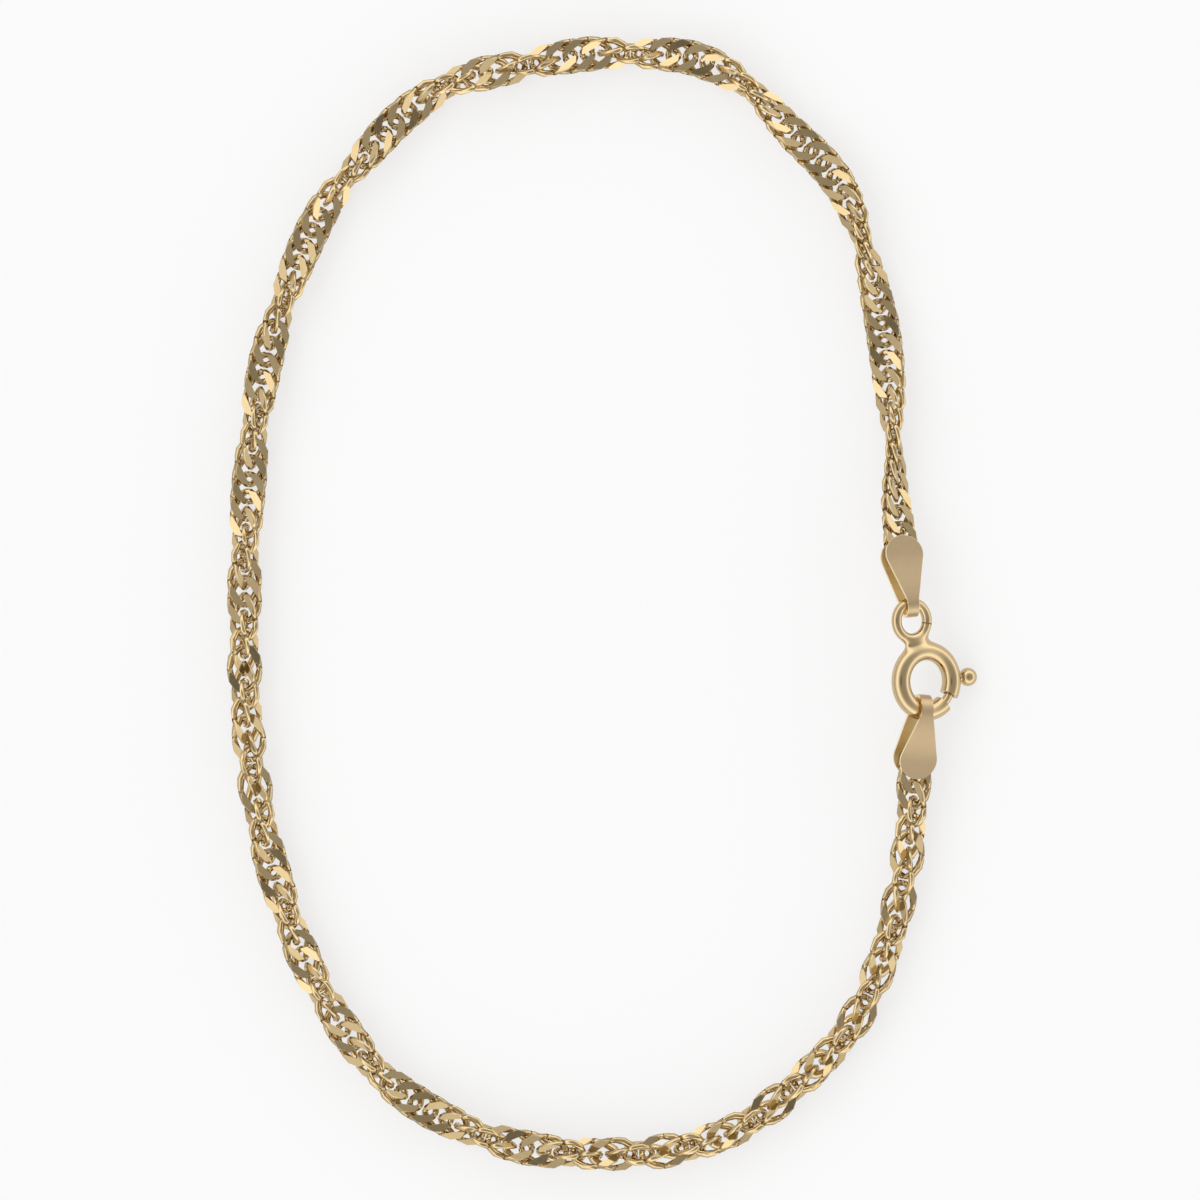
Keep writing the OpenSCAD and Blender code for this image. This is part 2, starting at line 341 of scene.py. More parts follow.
@dataclass
class ClaspPlace:
    """Where the leaned clasp lies, and the sizes that its neighbours share.

    Lengths are in millimetres and angles in degrees, here and in every class below.
    """

    ring_radius: float = 2.62
    tube: float = 1.65
    lean: float = 31.5
    eye_radius: float = 1.56
    eye_wire: float = 0.9
    eye_angle: float = 106.0
    trigger_angle: float = 4.7
    ball: float = 1.6
    ball_gap: float = 0.1
    centre_x: float = 28.1
    centre_y: float = -6.8832

    @property
    def ball_distance(self) -> float:
        """Distance of the ball's middle from the ring's middle."""
        return self.ring_radius + self.tube / 2 + self.ball_gap + self.ball / 2

    @property
    def centre(self) -> Vector:
        """Middle of the ring. The ball is the lowest point and rests on the surface."""
        lean = math.radians(self.lean)
        drop = self.ball_distance * math.cos(math.radians(self.trigger_angle)) * math.sin(lean)
        return Vector((self.centre_x, self.centre_y, self.ball / 2 + drop))

    @property
    def eye_centre(self) -> Vector:
        """Middle of the eye, in the ring's own plane."""
        reach = self.ring_radius + self.tube / 2 + self.eye_radius + self.eye_wire / 2
        return ray(self.eye_angle) * reach

    def place(self, point: Vector) -> Vector:
        """Returns where a point of the ring's own plane lies in the leaned clasp."""
        return Matrix.Rotation(math.radians(self.lean), 3, "Y") @ point + self.centre

    def place_all(self, points: Array) -> Array:
        """Returns where many points lie at once."""
        turn = np.array(Matrix.Rotation(math.radians(self.lean), 3, "Y"))
        return points @ turn.T + np.array(self.centre)


@dataclass
class TagPlace:
    """Where a folded end tag hangs: fold centre, and its turn about Z, dip and roll."""

    fold: Vector
    fold_radius: float
    turns: Point

    @property
    def matrix(self) -> Matrix:
        """The place as a matrix, in millimetres."""
        made = Matrix.Translation(self.fold)
        for degrees, axis in zip(self.turns, "ZYX"):
            made = made @ Matrix.Rotation(math.radians(degrees), 4, axis)
        return made

    def end_link(self, post: float, reach: float, swing: float) -> Vector:
        """Finds the middle of the end link, which hangs on the post.

        Args:
            post: Distance of the post from the fold.
            reach: Distance of the link's middle from the post.
            swing: How far the link is swung to one side between the leaves.

        Returns:
            The middle of the end link.
        """
        turn = math.radians(swing)
        return self.matrix @ Vector((post + reach * math.cos(turn), reach * math.sin(turn), 0.0))


@dataclass
class CurbLink:
    """One link: a saddle-shaped loop of round wire, rolled flat where it faces outwards.

    A flat span is an angle in the quarter loop and the share of the flat's width there. A belly
    point has its place across, what a full flat adds to it, and its height, in half flats.
    """

    half_length: float = 1.96
    half_width: float = 1.29
    saddle: float = 0.24
    wire: float = 0.4
    round_share: float = 0.635
    round_corners: tuple[float, ...] = (54.0, 126.0, 198.0, 270.0, 342.0)
    flat_width: float = 0.66
    flat_thick: float = 0.36
    flat_rise: float = 0.75
    flat_edges: Pair = (0.86, -1.12)
    flat_spans: tuple[Pair, ...] = ((12.0, 0.24), (32.0, 0.97), (59.0, 0.97), (79.0, 0.24))
    belly: tuple[Point, ...] = ((-0.88, -0.22, -0.05), (0.0, 0.0, -1.3), (0.74, 0.22, -0.05))
    lying_height: float = 1.58

    def middle(self, angle: float) -> Vector:
        """Returns the wire's middle at this angle round the link."""
        return Vector((
            self.half_length * math.cos(angle),
            self.half_width * math.sin(angle),
            -self.saddle * math.sin(2 * angle),
        ))

    def section(self, angle: float, share: float, high: bool) -> list[Vector]:
        """Finds the points round the wire.

        Args:
            angle: Angle round the link.
            share: Share of the full flat width here, 0 where the wire is round.
            high: Whether the flat faces up.

        Returns:
            The points, of which the first two bound the flat.
        """
        middle = self.middle(angle)
        way = (self.middle(angle + NUDGE) - self.middle(angle - NUDGE)).normalized()
        up = (Vector((0, 0, 1)) - way * way.z).normalized()
        side = way.cross(up)
        if not share:
            turns = [math.radians(q) for q in self.round_corners]
            return [
                middle + (side * math.cos(q) + up * math.sin(q)) * self.wire * self.round_share
                for q in turns
            ]
        half_thick = self.flat_thick / 2
        half_width = self.flat_width / 2
        face = 1 if high else -1
        cut = [(x * share, 1.0) for x in self.flat_edges]
        cut += [(x + more * share, y) for x, more, y in self.belly]
        points = [
            middle + side * (x * half_width) + up * (y * half_thick * face) for x, y in cut
        ]
        for point in points[:2]:
            point.z = face * (self.saddle + half_thick * self.flat_rise)
        return points

    def rings(self) -> list[tuple[float, float, bool]]:
        """Lists the rings of points round the link.

        Returns:
            Angle, share of the flat width and side of each ring.
        """
        made = []
        for quarter in range(4):
            start, high = quarter * 90.0, quarter % 2 == 1
            spans = self.flat_spans
            if high:
                spans = tuple((90.0 - angle, share) for angle, share in reversed(spans))
            made.append((start, 0.0, high))
            made += [(start + angle, share, high) for angle, share in spans]
        return made

    def build(self) -> Piece:
        """Builds the link round its own middle.

        Returns:
            An object for the chain's tree to copy, which isn't in the scene itself.
        """
        rings, sides = self.rings(), len(self.round_corners)
        count = len(rings)
        points = [
            point for degrees, share, high in rings
            for point in self.section(math.radians(degrees), share, high)
        ]

        def corner(ring: int, number: int) -> int:
            """Returns the number of a ring's point."""
            return ring % count * sides + number % sides

        faces = [
            (corner(i, k), corner(i + 1, k), corner(i + 1, k + 1), corner(i, k + 1))
            for i in range(count) for k in range(sides)
        ]
        mesh = mesh_from("curb_link", points, faces)
        shares = [ring[1] for ring in rings]
        crisp = set()
        for i, here in enumerate(shares):
            after = shares[(i + 1) % count]
            if here and not (shares[i - 1] and after):
                crisp.add(frozenset((corner(i, 0), corner(i, 1))))
            if here and after:
                crisp |= {frozenset((corner(i, k), corner(i + 1, k))) for k in (0, 1)}
        for edge in mesh.edges:
            edge.use_edge_sharp = frozenset(edge.vertices) in crisp
        return bpy.data.objects.new("curb_link", mesh)


@dataclass
class ChainRoute:
    """The way the chain lies, from the upper tag round to the lower tag.

    Each share is a point in hundredths of the loop's half width and half length, and its lift.
    Each edge mark is a place where the chain stands on edge, in hundredths of its length.
    """

    link: CurbLink
    start: Vector
    finish: Vector
    width: float = 62.2
    length: float = 95.6
    steps: int = 12
    slack: float = 0.27
    turn_first: float = 16.0
    turn_last: float = 20.0
    turn_settle: float = 10.0
    face_step: float = 9.0
    edge_step: float = 50.0
    shares: tuple[Point, ...] = (
        (82, 18.6, 0.3), (81.5, 27.4, 0), (78, 50.8, 0), (67.9, 73.8, 0),
        (51.5, 86.3, 0), (41, 93.4, 0), (26.5, 98.6, 0), (11, 99.6, 0),
        (-5, 99.5, 0), (-21, 97.6, 0), (-40.5, 94.6, 0), (-54.5, 89, 0),
        (-66.5, 80.8, 0), (-80.2, 68.6, 0), (-93, 46.4, 0), (-98.5, 23.2, 0),
        (-100, -0.4, 0), (-98.9, -24.1, 0), (-92.6, -47.3, 0), (-79.7, -69.5, 0),
        (-58.2, -88.1, 0), (-25.5, -98.6, 0), (10.6, -100.2, 0), (34.5, -96.7, 0),
        (54, -88, 0), (70.4, -76.2, 0), (79.6, -62.4, 0), (84.9, -47.5, 0),
    )
    edge_marks: tuple[float, ...] = (
        4.2, 11.4, 18.7, 23.4, 27.1, 30, 35.3, 40.7, 45.2, 49.8, 52.9, 55.4, 57.6,
        59.9, 63.6, 66.7, 70, 74.8, 78.3, 80.5, 82.7, 84.9, 87.1, 89.3, 91.5, 93.7,
        95.9, 98.1,
    )

    def points(self) -> Array:
        """Lays the route as a smooth curve through its points.

        Returns:
            The route as short straight steps, in millimetres.
        """
        lying = self.link.lying_height
        inner = [
            (x * self.width / 200, y * self.length / 200, z + lying) for x, y, z in self.shares
        ]
        knots = [np.array(p, float) for p in (tuple(self.start), *inner, tuple(self.finish))]
        knots = [2 * knots[0] - knots[1], *knots, 2 * knots[-1] - knots[-2]]
        made = []
        for a, b, c, d in zip(knots, knots[1:], knots[2:], knots[3:]):
            for k in range(self.steps):
                t = k / self.steps
                made.append(0.5 * (
                    2 * b + (c - a) * t + (2 * a - 5 * b + 4 * c - d) * t * t
                    + (3 * b - a - 3 * c + d) * t ** 3
                ))
        made.append(knots[-2])
        return np.array(made)

    def build(self) -> tuple[Piece, float]:
        """Builds the route as a line of edges that carries the chain's turn.

        Returns:
            The line's object, and its length in millimetres.
        """
        points = self.points()
        stretches = np.linalg.norm(np.diff(points, axis=0), axis=1)
        run = np.concatenate([[0.0], np.cumsum(stretches)])
        total = float(run[-1])
        points[:, 2] = np.maximum(points[:, 2], self.link.lying_height)
        pitch = total / (self.count(total) - 1)
        last = 180 * len(self.edge_marks) + self.turn_last
        marks = [
            (0.0, self.turn_first), (pitch, self.turn_first + self.turn_settle),
            *[(m * total / 100, 90 + 180 * i) for i, m in enumerate(self.edge_marks)],
            (total - pitch, last - self.turn_settle), (total, last),
        ]
        turn = self.rest_on_faces(np.interp(run, *zip(*marks)), pitch / total * 100)
        mesh = bpy.data.meshes.new("route")
        mesh.from_pydata((points * MM).tolist(), [(i, i + 1) for i in range(len(points) - 1)], [])
        noted = mesh.attributes.new("turn", "FLOAT", "POINT")
        noted.data.foreach_set("value", np.radians(turn))
        return new_object("route", mesh), total

    def rest_on_faces(self, turn: Array, pitch: float) -> Array:
        """Lets the chain lie longer on its faces and turn over faster on its edges.

        Args:
            turn: Even turn along the route.
            pitch: One link's share of the route, in hundredths.

        Returns:
            The turn, unchanged on every face and every edge.
        """
        marks = np.array(self.edge_marks)
        half = np.clip(((turn - 90) // 180).astype(int), 0, len(marks) - 2)
        even = 180 * pitch / (marks[half + 1] - marks[half])
        ease = np.minimum(1 - self.face_step / even, self.edge_step / even - 1) / 2
        ease = np.maximum(ease, 0.0)
        ease[(turn < 90) | (turn > 90 + 180 * (len(marks) - 1))] = 0.0
        return turn - np.degrees(ease) * np.sin(np.radians(2 * turn))

    def count(self, total: float) -> int:
        """Returns the number of links on a chain of this length."""
        link = self.link
        return 2 * round((total / (link.half_length - link.wire / 2 - self.slack) + 1) / 2)


@dataclass
class TwistedChain:
    """The links of the chain, laid out by a geometry tree along the route."""

    link: CurbLink
    route: ChainRoute
    sway: float = 1.6
    sway_shares: Point = (1.0, 0.6, 0.6)
    seed: int = 11
    nodes: tuple[str, str] = ("chain_upper_half", "chain_lower_half")
    names: tuple[str, str] = ("upper_chain_links", "lower_chain_links")

    def tree(self) -> Tree:
        """Builds the tree that sets links along a route.

        Returns:
            The tree, with named inputs.
        """
        tree = bpy.data.node_groups.new("links_on_route", "GeometryNodeTree")
        face = tree.interface
        for name, kind in (
            ("Route", "Geometry"), ("Link", "Object"), ("Pitch", "Float"), ("First", "Int"),
            ("Count", "Int"), ("Sway", "Float"), ("Seed", "Int"), ("Finish", "Material"),
        ):
            face.new_socket(name, in_out="INPUT", socket_type="NodeSocket" + kind)
        face.new_socket("Chain", in_out="OUTPUT", socket_type="NodeSocketGeometry")
        add = partial(new_node, tree)
        given = add("NodeGroupInput").outputs

        def number(operation: str, a: Socket, b: Socket) -> Socket:
            """Adds a number node and returns its result."""
            return add("ShaderNodeMath", {0: a, 1: b}, operation=operation).outputs[0]

        def vector(operation: str, inputs: Inputs) -> Socket:
            """Adds a vector node and returns its result."""
            return add("ShaderNodeVectorMath", inputs, operation=operation).outputs[0]

        line = add("GeometryNodeMeshToCurve", {"Mesh": given["Route"]})
        spots = add("GeometryNodePoints", {"Count": given["Count"]})
        index = add("GeometryNodeInputIndex").outputs[0]
        run = number("MULTIPLY", number("ADD", index, given["First"]), given["Pitch"])
        turn = add("GeometryNodeInputNamedAttribute", {"Name": "turn"})

        def sample(length: Socket) -> Node:
            """Adds a reading of the route at a length and returns its node."""
            inputs = {"Curves": line.outputs["Curve"], "Value": turn.outputs["Attribute"]}
            return add("GeometryNodeSampleCurve", {**inputs, "Length": length}, mode="LENGTH")

        here = sample(run)
        ahead = sample(number("ADD", run, given["Pitch"])).outputs["Position"]
        behind = sample(number("SUBTRACT", run, given["Pitch"])).outputs["Position"]
        way = vector("NORMALIZE", {0: vector("SUBTRACT", {0: ahead, 1: behind})})
        left = vector("NORMALIZE", {0: vector("CROSS_PRODUCT", {0: (0.0, 0.0, 1.0), 1: way})})
        set_out = add("GeometryNodeSetPosition", {
            "Geometry": spots.outputs[0], "Position": here.outputs["Position"],
        })
        along = add("FunctionNodeAxesToRotation", {
            "Primary Axis": way, "Secondary Axis": left,
        }, primary_axis="X", secondary_axis="Y")
        twist = add("FunctionNodeAxisAngleToRotation", {
            "Axis": (1.0, 0.0, 0.0), "Angle": here.outputs["Value"],
        })
        most = vector("SCALE", {0: self.sway_shares, "Scale": given["Sway"]})
        least = vector("MULTIPLY", {0: most, 1: (-1.0, -1.0, -1.0)})
        chance = add("FunctionNodeRandomValue", {
            "Min": least, "Max": most, "Seed": given["Seed"],
        }, data_type="FLOAT_VECTOR")
        wander = add("FunctionNodeEulerToRotation", {"Euler": chance.outputs["Value"]})
        turned = along.outputs["Rotation"]
        for by in (twist, wander):
            turned = add("FunctionNodeRotateRotation", {
                "Rotation": turned, "Rotate By": by.outputs["Rotation"],
            }, rotation_space="LOCAL").outputs["Rotation"]
        link = add("GeometryNodeObjectInfo", {"Object": given["Link"]})
        copies = add("GeometryNodeInstanceOnPoints", {
            "Points": set_out.outputs["Geometry"], "Instance": link.outputs["Geometry"],
            "Rotation": turned,
        })
        shade = add("FunctionNodeRandomValue", {"Seed": given["Seed"]})
        noted = add("GeometryNodeStoreNamedAttribute", {
            "Geometry": copies.outputs["Instances"], "Name": "shade", "Value": shade.outputs[1],
        }, domain="INSTANCE")
        real = add("GeometryNodeRealizeInstances", {"Geometry": noted.outputs["Geometry"]})
        dress = add("GeometryNodeSetMaterial", {
            "Geometry": real.outputs["Geometry"], "Material": given["Finish"],
        })
        add("NodeGroupOutput", {"Chain": dress.outputs["Geometry"]})
        return tree

    def build(self, finish: Material) -> list[Piece]:
        """Builds both halves of the chain.

        Args:
            finish: The links' material.

        Returns:
            The upper and the lower half, each a plain mesh.
        """
        tree = self.tree()
        line, total = self.route.build()
        count = self.route.count(total)
        link = self.link.build()
        halves = []
        for half, name in enumerate(self.names):
            piece = new_object(name, line.data.copy())
            layout = piece.modifiers.new("links", "NODES")
            layout.node_group = tree
            values = {
                "Link": link, "Pitch": total / (count - 1) * MM, "First": half * count // 2,
                "Count": count // 2, "Sway": math.radians(self.sway), "Seed": self.seed + half,
                "Finish": finish,
            }
            for socket in tree.interface.items_tree:
                if socket.in_out == "INPUT" and socket.name in values:
                    layout[socket.identifier] = values[socket.name]
            halves.append(settled(piece, name))
        bpy.data.objects.remove(line)
        return halves

    def dress(self, finish: Material) -> None:
        """Builds the halves and hands them over."""
        for piece, node in zip(self.build(finish), self.nodes):
            hand_over(piece, Body.CHAIN_AND_RING, Slot.CHAIN, node)


@dataclass
class FoldedTag(ClaspPart):
    """A strip of sheet folded round the clasp, with two round-ended leaves and a post."""

    name: str
    node: str
    place: TagPlace
    sheet: float = 0.25
    neck: float = 1.05
    end_radius: float = 1.68
    end_points: int = 41
    length: float = 4.2
    bend: float = 2.2
    gap: float = 1.4
    post: float = 0.55
    post_back: float = 0.2
    post_sink: float = 0.02
    post_sides: int = 24
    rim: float = 0.1
    rim_steps: int = 3
    rim_angle: float = 50.0
    fold_rows: int = 18
    leaf_rows: int = 14
    first_row: float = 0.25

    @property
    def level(self) -> float:
        """Height of a leaf's middle sheet above the tag's middle, clear of the fold."""
        return self.gap / 2 + self.sheet / 2

    def outline(self) -> list[Pair]:
        """Draws the flat leaf's round end.

        Returns:
            Its points, as distances from the fold's start and from the leaf's middle line.
        """
        half = self.neck / 2
        reach = math.hypot(self.length, half)
        touch = math.pi - math.atan2(half, self.length) - math.acos(self.end_radius / reach)
        return [
            (self.length + self.end_radius * math.cos(a), self.end_radius * math.sin(a))
            for a in np.linspace(touch, -touch, self.end_points)
        ]

    def lost(self, radius: float) -> float:
        """Returns how much of a leaf's length its slope takes up, for a fold of this radius."""
        return math.hypot(self.bend, self.level - radius) - self.bend

    def along_strip(self, run: float, radius: float) -> Pair:
        """Maps a distance along the strip's middle sheet to the folded shape.

        Args:
            run: Distance from the middle of the fold, negative on the lower leaf.
            radius: Radius of the fold's middle sheet.

        Returns:
            The place along the tag and its height.
        """
        side = 1.0 if run >= 0 else -1.0
        left = abs(run)
        quarter = radius * math.pi / 2
        if left <= quarter:
            turn = left / radius
            return -radius * math.cos(turn), side * radius * math.sin(turn)
        share = min((left - quarter) / (self.bend * 2), 1.0)
        rise = (self.level - radius) * share * share * (3 - 2 * share)
        return left - quarter - self.lost(radius) * share, side * (radius + rise)

    def strip(self, radius: float) -> Mesh:
        """Cuts the strip out flat, with rows of points across it, and folds it.

        Args:
            radius: Radius of the fold's middle sheet.

        Returns:
            The folded middle sheet.
        """
        quarter, half = radius * math.pi / 2, self.neck / 2
        ends = [(x + quarter + self.lost(radius), y) for x, y in self.outline()]
        loop = ends + [(quarter, -half), (-quarter, -half)]
        loop += [(-x, -y) for x, y in ends] + [(-quarter, half), (quarter, half)]
        flat = bmesh.new()
        flat.faces.new([flat.verts.new((x, y, 0.0)) for x, y in loop])
        rows = list(np.linspace(-quarter, quarter, self.fold_rows + 1))
        leaf = np.linspace(self.first_row, self.bend * 2, self.leaf_rows)
        rows += [side * (quarter + off) for side in (-1, 1) for off in leaf]
        for row in rows:
            bmesh.ops.bisect_plane(
                flat, geom=[*flat.verts, *flat.edges, *flat.faces],
                plane_co=(row, 0, 0), plane_no=(1, 0, 0), dist=1e-5,
            )
        for vert in flat.verts:
            x, z = self.along_strip(vert.co.x, radius)
            vert.co = Vector((x, vert.co.y, z))
        bmesh.ops.recalc_face_normals(flat, faces=flat.faces)
        flat.faces.ensure_lookup_table()
        if max(flat.faces, key=lambda f: f.calc_center_median().z).normal.z < 0:
            bmesh.ops.reverse_faces(flat, faces=flat.faces)
        mesh = bpy.data.meshes.new(self.name)
        flat.to_mesh(mesh)
        flat.free()
        mesh.shade_smooth()
        return mesh

    def build(self, *finishes: Material) -> Piece:
        """Builds the tag in its place.

        Args:
            finishes: Finish of the strip's outer face; of its inner face, a lighter gold as painted
                light in the shade between the leaves; and of rims and post, a lighter gold as a
                painted highlight along the rims.

        Returns:
            The finished piece.
        """
        mesh = self.strip(self.place.fold_radius + self.sheet / 2)
        for finish in finishes:
            mesh.materials.append(finish)
        piece = new_object(self.name + "_strip", mesh)
        wall = piece.modifiers.new("sheet", "SOLIDIFY")
        # The inner face takes the second finish, the lighter gold that paints light into the shade
        # between the leaves.
        wall.material_offset = 1
        # The rims take the third finish, the lighter gold that paints a highlight along them.
        wall.material_offset_rim = 2
        wall.thickness = self.sheet
        wall.offset = 0.0
        edge = piece.modifiers.new("rim", "BEVEL")
        edge.width = self.rim
        edge.segments = self.rim_steps
        edge.limit_method = "ANGLE"
        edge.angle_limit = math.radians(self.rim_angle)
        edge.material = 2
        even = piece.modifiers.new("even", "WEIGHTED_NORMAL")
        even.keep_sharp = True
        piece = settled(piece, self.name)
        self.add_post(piece.data)
        piece.data.transform(Matrix.Scale(MM, 4) @ self.place.matrix)
        return piece

    def add_post(self, mesh: Mesh) -> None:
        """Adds the post that holds the end link, between the two leaves.

        Args:
            mesh: The tag's mesh, in its own place.
        """
        solid = bmesh.new()
        solid.from_mesh(mesh)
        made = bmesh.ops.create_cone(
            solid, cap_ends=True, segments=self.post_sides,
            radius1=self.post / 2, radius2=self.post / 2,
            depth=self.gap + self.sheet + 2 * self.post_sink,
            matrix=Matrix.Translation((self.length - self.post_back, 0, 0)),
        )
        for vert in made["verts"]:
            for face in vert.link_faces:
                face.smooth = len(face.verts) == 4
                # The post takes the rims' lighter gold with its painted highlight.
                face.material_index = 2
        solid.to_mesh(mesh)
        solid.free()


def bent_bar(points: Array, radius: float, bar: float) -> Array:
    """Returns the distance to a full ring of round bar about Z."""
    around = np.hypot(points[:, 0], points[:, 1]) - radius
    return np.hypot(around, points[:, 2]) - bar


def melt(a: Array, b: Array, reach: float) -> Array:
    """Joins two distances with a soft fillet.

    Args:
        a: First distance.
        b: Second distance.
        reach: Size of the fillet.

    Returns:
        The joined distance.
    """
    near = np.maximum(reach - np.abs(a - b), 0.0) / reach
    return np.minimum(a, b) - near * near * reach / 4


@dataclass
class MeltedForm:
    """A closed surface drawn where a distance is zero, for metal that flows together.

    Its points are pulled along the distance's slope, probed a share of a cell to each side.
    """

    distance: Callable[[Array], Array]
    low: Point
    high: Point
    cell: float
    pulls: int = 8
    probe: float = 0.02
    least_slope: float = 0.05

    def build(self) -> tuple[Array, Faces]:
        """Draws the surface.

        Returns:
            Its points, and its faces.
        """
        axes = [np.arange(a, b + self.cell, self.cell) for a, b in zip(self.low, self.high)]
        grid = np.stack(np.meshgrid(*axes, indexing="ij"), -1)
        shape = grid.shape[:3]
        inside = self.distance(grid.reshape(-1, 3)).reshape(shape) < 0
        sides = np.stack([
            inside[dx:shape[0] - 1 + dx, dy:shape[1] - 1 + dy, dz:shape[2] - 1 + dz]
            for dx in (0, 1) for dy in (0, 1) for dz in (0, 1)
        ])
        crossed = sides.any(0) & ~sides.all(0)
        cells = np.argwhere(crossed)
        number = np.full(crossed.shape, -1)
        number[crossed] = np.arange(len(cells))
        points = np.array(self.low) + (cells + 0.5) * self.cell
        faces: Faces = []
        steps = np.eye(3, dtype=int)
        for axis in range(3):
            step, u, v = steps[axis], steps[(axis + 1) % 3], steps[(axis + 2) % 3]
            first = inside[tuple(slice(0, shape[k] - step[k]) for k in range(3))]
            after = inside[tuple(slice(step[k], shape[k]) for k in range(3))]
            for spot in np.argwhere(first != after):
                around = [number[tuple(spot + o)] for o in (-u - v, -v, 0 * u, -u)]
                faces.append(tuple(around) if first[tuple(spot)] else tuple(reversed(around)))
        for _ in range(self.pulls):
            points = self.pull(points)
        return points, faces

    def pull(self, points: Array) -> Array:
        """Moves points towards the surface, one step.

        Args:
            points: The points.

        Returns:
            The moved points.
        """
        small = self.cell * self.probe
        slope = np.stack([
            (self.distance(points + small * way) - self.distance(points - small * way))
            / (2 * small) for way in np.eye(3)
        ], -1)
        size = np.maximum((slope ** 2).sum(-1), self.least_slope)
        return points - slope * (self.distance(points) / size)[:, None]


@dataclass
class BoltRing(ClaspPart):
    """The clasp's tube with its soldered neck and eye, cut for bolt, trigger and mouth.

    The neck is an egg of metal, given by its half sizes along, across and up.
    """

    place: ClaspPlace
    name: str = "bolt_ring"
    node: str = "clasp_ring"
    neck: Point = (0.62, 1.12, 0.46)
    neck_out: float = 0.05
    neck_melt: float = 0.45
    eye_melt: float = 0.4
    bore: float = 0.96
    bore_sides: int = 32
    bore_over: float = 2.0
    mouth: Pair = (-49.0, -26.0)
    mouth_inner: float = 0.6
    slot_half: float = 0.32
    slot: Pair = (-1.7, 43.2)
    sweep_step: float = 3.0
    seam: float = 0.1
    seam_angle: float = -9.0
    seam_length: float = 1.2
    seam_lift: float = 0.56
    cell: float = 0.07
    margin: float = 0.2
    eye_margin: float = 0.3
    half_depth: float = 1.05
    crisp_angle: float = 38.0

    def metal(self, points: Array) -> Array:
        """Measures the ring, neck and eye as one melted form.

        Args:
            points: Points in the ring's own plane.

        Returns:
            Their distances to the form.
        """
        place = self.place
        eye = np.array(place.eye_centre)
        ring = bent_bar(points, place.ring_radius, place.tube / 2)
        loop = bent_bar(points - eye, place.eye_radius, place.eye_wire / 2)
        way = eye / np.linalg.norm(eye)
        off = points - way * (place.ring_radius + place.tube / 2 + self.neck_out)
        across = np.array([-way[1], way[0], 0.0])
        long, wide, tall = self.neck
        share = np.sqrt(
            ((off @ way) / long) ** 2 + ((off @ across) / wide) ** 2 + (off[:, 2] / tall) ** 2
        )
        return melt(melt(ring, (share - 1.0) * tall, self.neck_melt), loop, self.eye_melt)

    def sweep(self, name: str, section: Sequence[Pair], start: float, end: float) -> Piece:
        """Turns a closed section about the ring's axis.

        Args:
            name: Name of the cutter.
            section: Its points as distance from the axis and height.
            start: First angle.
            end: Last angle.

        Returns:
            A closed cutter.
        """
        steps = max(2, int(abs(end - start) / self.sweep_step))
        angles = np.radians(np.linspace(start, end, steps + 1))
        points = [(r * math.cos(a), r * math.sin(a), z) for a in angles for r, z in section]
        n = len(section)
        faces: Faces = [
            (i * n + k, (i + 1) * n + k, (i + 1) * n + (k + 1) % n, i * n + (k + 1) % n)
            for i in range(steps) for k in range(n)
        ]
        faces += [tuple(range(n)), tuple(reversed(range(steps * n, steps * n + n)))]
        return new_object(name, mesh_from(name, points, faces, 1.0))

    def seam_cutter(self) -> Piece:
        """Builds the cutter of the joint in the eye's wire.

        Returns:
            A thin plate that stands upright where the clasp lies, and leaves the wire's core.
        """
        mesh = bpy.data.meshes.new("seam")
        solid = bmesh.new()
        bmesh.ops.create_cube(solid, size=1.0)
        upright = Matrix.Rotation(-math.radians(self.place.lean), 3, "Y")
        round_eye = Matrix.Rotation(math.radians(self.seam_angle), 3, "Z")
        on_wire = Vector((self.place.eye_radius, 0, 0))
        for vert in solid.verts:
            x, y, z = vert.co
            plate = Vector((x * self.seam_length, y * self.seam, z + self.seam_lift))
            vert.co = round_eye @ (upright @ plate + on_wire) + self.place.eye_centre
        solid.to_mesh(mesh)
        solid.free()
        return new_object("seam", mesh)

    def cutters(self) -> list[Piece]:
        """Builds what is cut away.

        Returns:
            The cutters of mouth, bore, slot and seam.
        """
        radius, tall = self.place.ring_radius, self.place.tube
        near, far, half = self.mouth_inner, radius + tall, self.slot_half
        first, last = self.mouth
        box = [(near, -tall), (far, -tall), (far, tall), (near, tall)]
        round_hole = [
            (radius + self.bore / 2 * math.cos(a), self.bore / 2 * math.sin(a))
            for a in np.linspace(0, 2 * math.pi, self.bore_sides + 1)[:-1]
        ]
        groove = [(radius, -half), (far, -half), (far, half), (radius, half)]
        return [
            self.sweep("mouth", box, first, last),
            self.sweep("bore", round_hole, last - self.bore_over, 360 + self.bore_over + first),
            self.sweep("slot", groove, *self.slot),
            self.seam_cutter(),
        ]

    def build(self, finish: Material) -> Piece:
        """Builds the ring in its place.

        Args:
            finish: The ring's material.

        Returns:
            The finished piece.
        """
        place = self.place
        wide = place.ring_radius + place.tube / 2 + self.margin
        top = place.eye_centre.y + place.eye_radius + place.eye_wire / 2 + self.margin
        low = (-wide - self.eye_margin, -wide, -self.half_depth)
        form = MeltedForm(self.metal, low, (wide, top, self.half_depth), self.cell)
        piece = new_object(self.name + "_metal", mesh_from(self.name, *form.build(), 1.0))
        tools = self.cutters()
        for tool in tools:
            cut = piece.modifiers.new(tool.name, "BOOLEAN")
            cut.operation = "DIFFERENCE"
            cut.solver = "EXACT"
            cut.object = tool
        piece = settled(piece, self.name)
        for tool in tools:
            bpy.data.objects.remove(tool)
        mesh = piece.data
        spots = np.empty(len(mesh.vertices) * 3)
        mesh.vertices.foreach_get("co", spots)
        spots = place.place_all(spots.reshape(-1, 3)) * MM
        mesh.vertices.foreach_set("co", spots.ravel())
        mesh.shade_smooth()
        mesh.set_sharp_from_angle(angle=math.radians(self.crisp_angle))
        mesh.materials.clear()
        mesh.materials.append(finish)
        mesh.update()
        return piece


